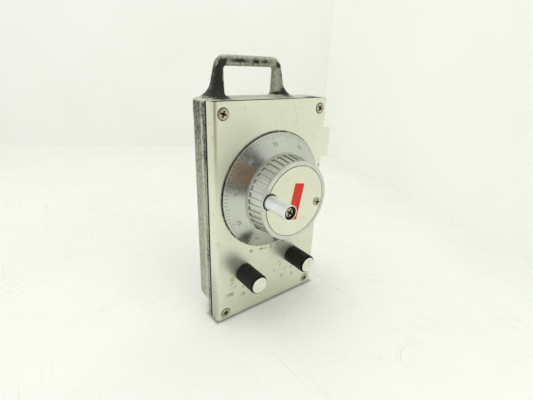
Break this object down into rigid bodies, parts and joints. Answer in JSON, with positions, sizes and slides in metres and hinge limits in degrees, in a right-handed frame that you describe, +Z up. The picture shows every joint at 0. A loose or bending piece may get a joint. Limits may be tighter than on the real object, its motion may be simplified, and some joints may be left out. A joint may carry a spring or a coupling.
{
  "type": "manual pulse generator pendant",
  "caption": "Handheld pendant: slim cast case with carrying handle, folded front cover, graduated handwheel with spinner crank, and two ribbed selector knobs.",
  "frame": {"origin": "middle of the base that the case stands on, halfway between the cover's front face and the back of the case's flange", "axes": "+Z up along the case to the handle, -Y out of the front cover towards the user, +X to the user's right"},
  "size_m": [0.1258, 0.0913, 0.232],
  "materials": {
    "housing_paint": "worn black enamel on a sand casting, bare grey metal at the edges",
    "cover_sheet": "fine satin, scuffed and stained",
    "rubber": "matt",
    "zinc_screw": "yellow zinc plate, dirty in the recess",
    "steel": "plain",
    "black_plastic": "satin black",
    "brass": "turned",
    "machined_aluminium": "machined",
    "circuit_board": "green board",
    "dial_satin": "turned satin, clear anodised",
    "drum_satin": "turned satin",
    "disc_face": "fine satin",
    "label": "printed red film",
    "glass": "clear",
    "spinner_metal": "satin, turned",
    "knob_plastic": "ribbed black",
    "knob_cap": "matt silver"
  },
  "bodies": {
    "root": {"rear_housing": "housing_paint", "front_cover": "cover_sheet", "cover_gasket": "rubber", "side_seal_left": "rubber", "side_seal_right": "rubber", "cover_screw_1": "zinc_screw", "cover_screw_2": "zinc_screw", "cover_screw_3": "zinc_screw", "cover_screw_4": "zinc_screw", "foot_1": "rubber", "foot_2": "rubber", "foot_3": "rubber", "foot_4": "rubber", "gland_body": "black_plastic", "gland_nut": "black_plastic", "gland_seal": "rubber", "gland_locknut": "brass", "encoder_case": "machined_aluminium", "front_bearing": "steel", "detent_ring": "steel", "encoder_board": "circuit_board", "reader_block": "black_plastic", "encoder_cap": "machined_aluminium", "rear_bearing": "steel", "encoder_screw_1": "steel", "encoder_screw_2": "steel", "encoder_screw_3": "steel", "terminal_block": "black_plastic", "switch_body_left": "black_plastic", "switch_wafer_left": "circuit_board", "panel_nut_left": "steel", "switch_body_right": "black_plastic", "switch_wafer_right": "circuit_board", "panel_nut_right": "steel"},
    "handwheel": {"graduated_dial": "dial_satin", "handwheel_drum": "drum_satin", "face_disc": "disc_face", "disc_screw": "zinc_screw", "crank_stud": "zinc_screw", "disc_label": "label", "dial_set_screw": "black_plastic", "main_shaft": "steel", "detent_wheel": "steel", "code_disc": "glass", "code_disc_hub": "brass"},
    "spinner": {"spinner_sleeve": "spinner_metal", "spinner_bush": "black_plastic"},
    "selector_left": {"switch_rotor_left": "brass", "selector_knob_left": "knob_plastic", "knob_cap_left": "knob_cap", "knob_grub_screw_left": "steel"},
    "selector_right": {"switch_rotor_right": "brass", "selector_knob_right": "knob_plastic", "knob_cap_right": "knob_cap", "knob_grub_screw_right": "steel"}
  },
  "joints": [
    {"name": "handwheel_spin", "type": "hinge", "parent": "root", "child": "handwheel", "pos_m": [0, -0.0089, 0.1209], "axis": [0, 1, 0], "continuous": true},
    {"name": "spinner_spin", "type": "hinge", "parent": "handwheel", "child": "spinner", "pos_m": [-0.02744, -0.0539, 0.12648], "axis": [0, 1, 0], "continuous": true},
    {"name": "selector_left_turn", "type": "hinge", "parent": "root", "child": "selector_left", "pos_m": [-0.0304, -0.0089, 0.046], "axis": [0, 1, 0], "range_deg": [-36, 72]},
    {"name": "selector_right_turn", "type": "hinge", "parent": "root", "child": "selector_right", "pos_m": [0.0279, -0.0089, 0.046], "axis": [0, 1, 0], "range_deg": [-45, 45]}
  ]
}
